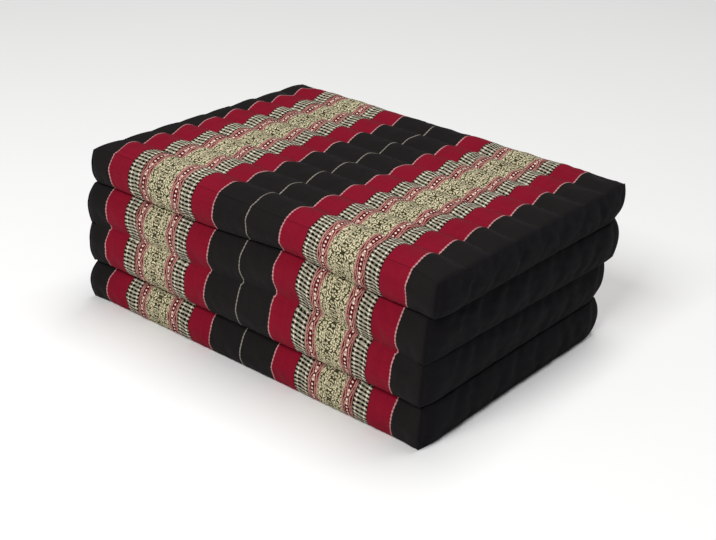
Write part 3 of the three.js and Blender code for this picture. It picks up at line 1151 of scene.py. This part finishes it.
def stitch_tree():
    """Geometry nodes that lay one stitch after another along the lines of a mesh."""
    tree = bpy.data.node_groups.new("Running stitch", "GeometryNodeTree")
    sockets = (
        ("Seams", "INPUT", "Geometry"),
        ("Pitch", "INPUT", "Float"),
        ("Length", "INPUT", "Float"),
        ("Thickness", "INPUT", "Float"),
        ("Thread", "INPUT", "Material"),
        ("Stitches", "OUTPUT", "Geometry"),
    )
    for name, way, kind in sockets:
        tree.interface.new_socket(name, in_out=way, socket_type="NodeSocket" + kind)
    kinds = {
        "given": "NodeGroupInput",
        "curve": "GeometryNodeMeshToCurve",
        "points": "GeometryNodeCurveToPoints",
        "aim": "FunctionNodeAlignRotationToVector",
        "stitch": "GeometryNodeMeshUVSphere",
        "size": "ShaderNodeCombineXYZ",
        "copies": "GeometryNodeInstanceOnPoints",
        "real": "GeometryNodeRealizeInstances",
        "paint": "GeometryNodeSetMaterial",
        "out": "NodeGroupOutput",
    }
    nodes = {name: tree.nodes.new(kind) for name, kind in kinds.items()}
    nodes["points"].mode = "LENGTH"
    nodes["aim"].axis = "X"
    for name, value in STITCH_SHAPE.items():
        nodes["stitch"].inputs[name].default_value = value
    joins = (
        ("given", "Seams", "curve", "Mesh"),
        ("curve", "Curve", "points", "Curve"),
        ("given", "Pitch", "points", "Length"),
        ("points", "Tangent", "aim", "Vector"),
        ("given", "Length", "size", "X"),
        ("given", "Thickness", "size", "Y"),
        ("given", "Thickness", "size", "Z"),
        ("points", "Points", "copies", "Points"),
        ("stitch", "Mesh", "copies", "Instance"),
        ("aim", "Rotation", "copies", "Rotation"),
        ("size", "Vector", "copies", "Scale"),
        ("copies", "Instances", "real", "Geometry"),
        ("real", "Geometry", "paint", "Geometry"),
        ("given", "Thread", "paint", "Material"),
        ("paint", "Geometry", "out", "Stitches"),
    )
    for start, output, end, entry in joins:
        tree.links.new(nodes[start].outputs[output], nodes[end].inputs[entry])
    return tree


class MATTRESS_OT_stitches(bpy.types.Operator):
    """Sew the creases of the free top"""

    bl_idname = "mattress.stitches"
    bl_label = "Stitches"

    def execute(self, context):
        sizes, _, colours = settings_of(context)
        section = stuffed[SECTIONS[0]["node"]]
        rows = section.seam_rows()["top"][1:-1]
        lines = section.placed[section.loop[:, rows]].transpose(1, 0, 2)
        points = lines.reshape(-1, 3) + np.array([0, 0, STITCH_RISE])
        numbers = np.arange(len(points)).reshape(lines.shape[:2])
        edges = np.stack([numbers[:, :-1], numbers[:, 1:]], axis=-1).reshape(-1, 2)
        mesh = bpy.data.meshes.new("crease_stitches")
        mesh.from_pydata(points.tolist(), edges.tolist(), [])
        piece = link("crease_stitches", mesh)
        sewing = piece.modifiers.new("Sewing", "NODES")
        sewing.node_group = stitch_tree()
        wanted = {
            "Pitch": sizes.stitch_pitch,
            "Length": sizes.stitch_length,
            "Thickness": sizes.thread,
            "Thread": mottled_material("sewing thread", colours.thread, THREAD_LOOK),
        }
        for item in sewing.node_group.interface.items_tree:
            if item.name in wanted:
                sewing[item.identifier] = wanted[item.name]
        apply_modifiers(piece).shade_smooth()
        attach(piece, ROOT)
        return {"FINISHED"}


class MATTRESS_OT_stage(bpy.types.Operator):
    """Set the pale floor, the soft lights and the camera"""

    bl_idname = "mattress.stage"
    bl_label = "Stage"

    def execute(self, context):
        stage = context.scene.mattress_stage
        self.floor(context.scene.mattress_colours.floor)
        self.sky(context.scene, stage.sky)
        for row in LIGHTS:
            self.soft_box(row, getattr(stage, row["name"]))
        self.camera(context.scene, stage)
        context.scene.view_settings.view_transform = "Standard"
        return {"FINISHED"}

    def floor(self, colour):
        signs = ((-1, -1), (1, -1), (1, 1), (-1, 1))
        corners = [(x * FLOOR_REACH, y * FLOOR_REACH, FLOOR_Z) for x, y in signs]
        mesh = bpy.data.meshes.new("floor")
        mesh.from_pydata(corners, [], [(0, 1, 2, 3)])
        piece = link("floor", mesh)
        wear(piece, mottled_material("pale studio floor", colour, FLOOR_LOOK))

    def sky(self, scene, strength):
        world = bpy.data.worlds.new("studio")
        world.use_nodes = True
        sky = world.node_tree.nodes["Background"]
        sky.inputs["Color"].default_value = (1, 1, 1, 1)
        sky.inputs["Strength"].default_value = strength
        scene.world = world

    def soft_box(self, row, power):
        light = bpy.data.lights.new(row["name"], "AREA")
        light.energy = power
        light.size = row["size"]
        lamp = link(row["name"], light)
        lamp.location = row["place"]
        lamp.rotation_mode = "QUATERNION"
        aim = Vector((0, 0, LIT_HEIGHT)) - Vector(row["place"])
        lamp.rotation_quaternion = aim.to_track_quat("-Z", "Y")

    def camera(self, scene, stage):
        azimuth, elevation, roll = stage.azimuth, stage.elevation, stage.roll
        ground = math.cos(elevation)
        back = Vector((math.sin(azimuth) * ground, -math.cos(azimuth) * ground, math.sin(elevation)))
        level = Vector((math.cos(azimuth), math.sin(azimuth), 0))
        upright = back.cross(level)
        right = math.cos(roll) * level + math.sin(roll) * upright
        up = math.cos(roll) * upright - math.sin(roll) * level
        aim = stage.aim_right * right + stage.aim_up * up
        data = bpy.data.cameras.new("camera")
        data.lens = stage.lens
        data.sensor_width = SENSOR_WIDTH
        camera = link("camera", data)
        turn = Matrix((right, up, back)).transposed().to_4x4()
        camera.matrix_world = Matrix.Translation(aim + stage.distance * back) @ turn
        scene.camera = camera


class MATTRESS_PT_panel(bpy.types.Panel):
    """Lists the steps that dress the mattress"""

    bl_idname = "MATTRESS_PT_panel"
    bl_label = "Floor mattress"
    bl_space_type = "VIEW_3D"
    bl_region_type = "UI"
    bl_category = "Mattress"

    def draw(self, context):
        for operator in OPERATORS:
            self.layout.operator(operator.bl_idname)


OPERATORS = (
    MATTRESS_OT_sections,
    MATTRESS_OT_gussets,
    MATTRESS_OT_folds,
    MATTRESS_OT_stitches,
    MATTRESS_OT_stage,
)
SETTINGS = {
    "mattress_sizes": MattressSizes,
    "mattress_stuffing": StuffingSettings,
    "mattress_bands": BandSizes,
    "mattress_colours": ClothColours,
    "mattress_stage": StageSettings,
}


def register():
    for group in (*SETTINGS.values(), *OPERATORS, MATTRESS_PT_panel):
        bpy.utils.register_class(group)
    for name, group in SETTINGS.items():
        setattr(bpy.types.Scene, name, PointerProperty(type=group))


def unregister():
    for name in SETTINGS:
        delattr(bpy.types.Scene, name)
    for group in (*SETTINGS.values(), *OPERATORS, MATTRESS_PT_panel):
        bpy.utils.unregister_class(group)


def main():
    register()
    bpy.ops.mattress.sections()
    bpy.ops.mattress.gussets()
    bpy.ops.mattress.folds()
    bpy.ops.mattress.stitches()
    bpy.ops.mattress.stage()


if __name__ == "__main__":
    main()
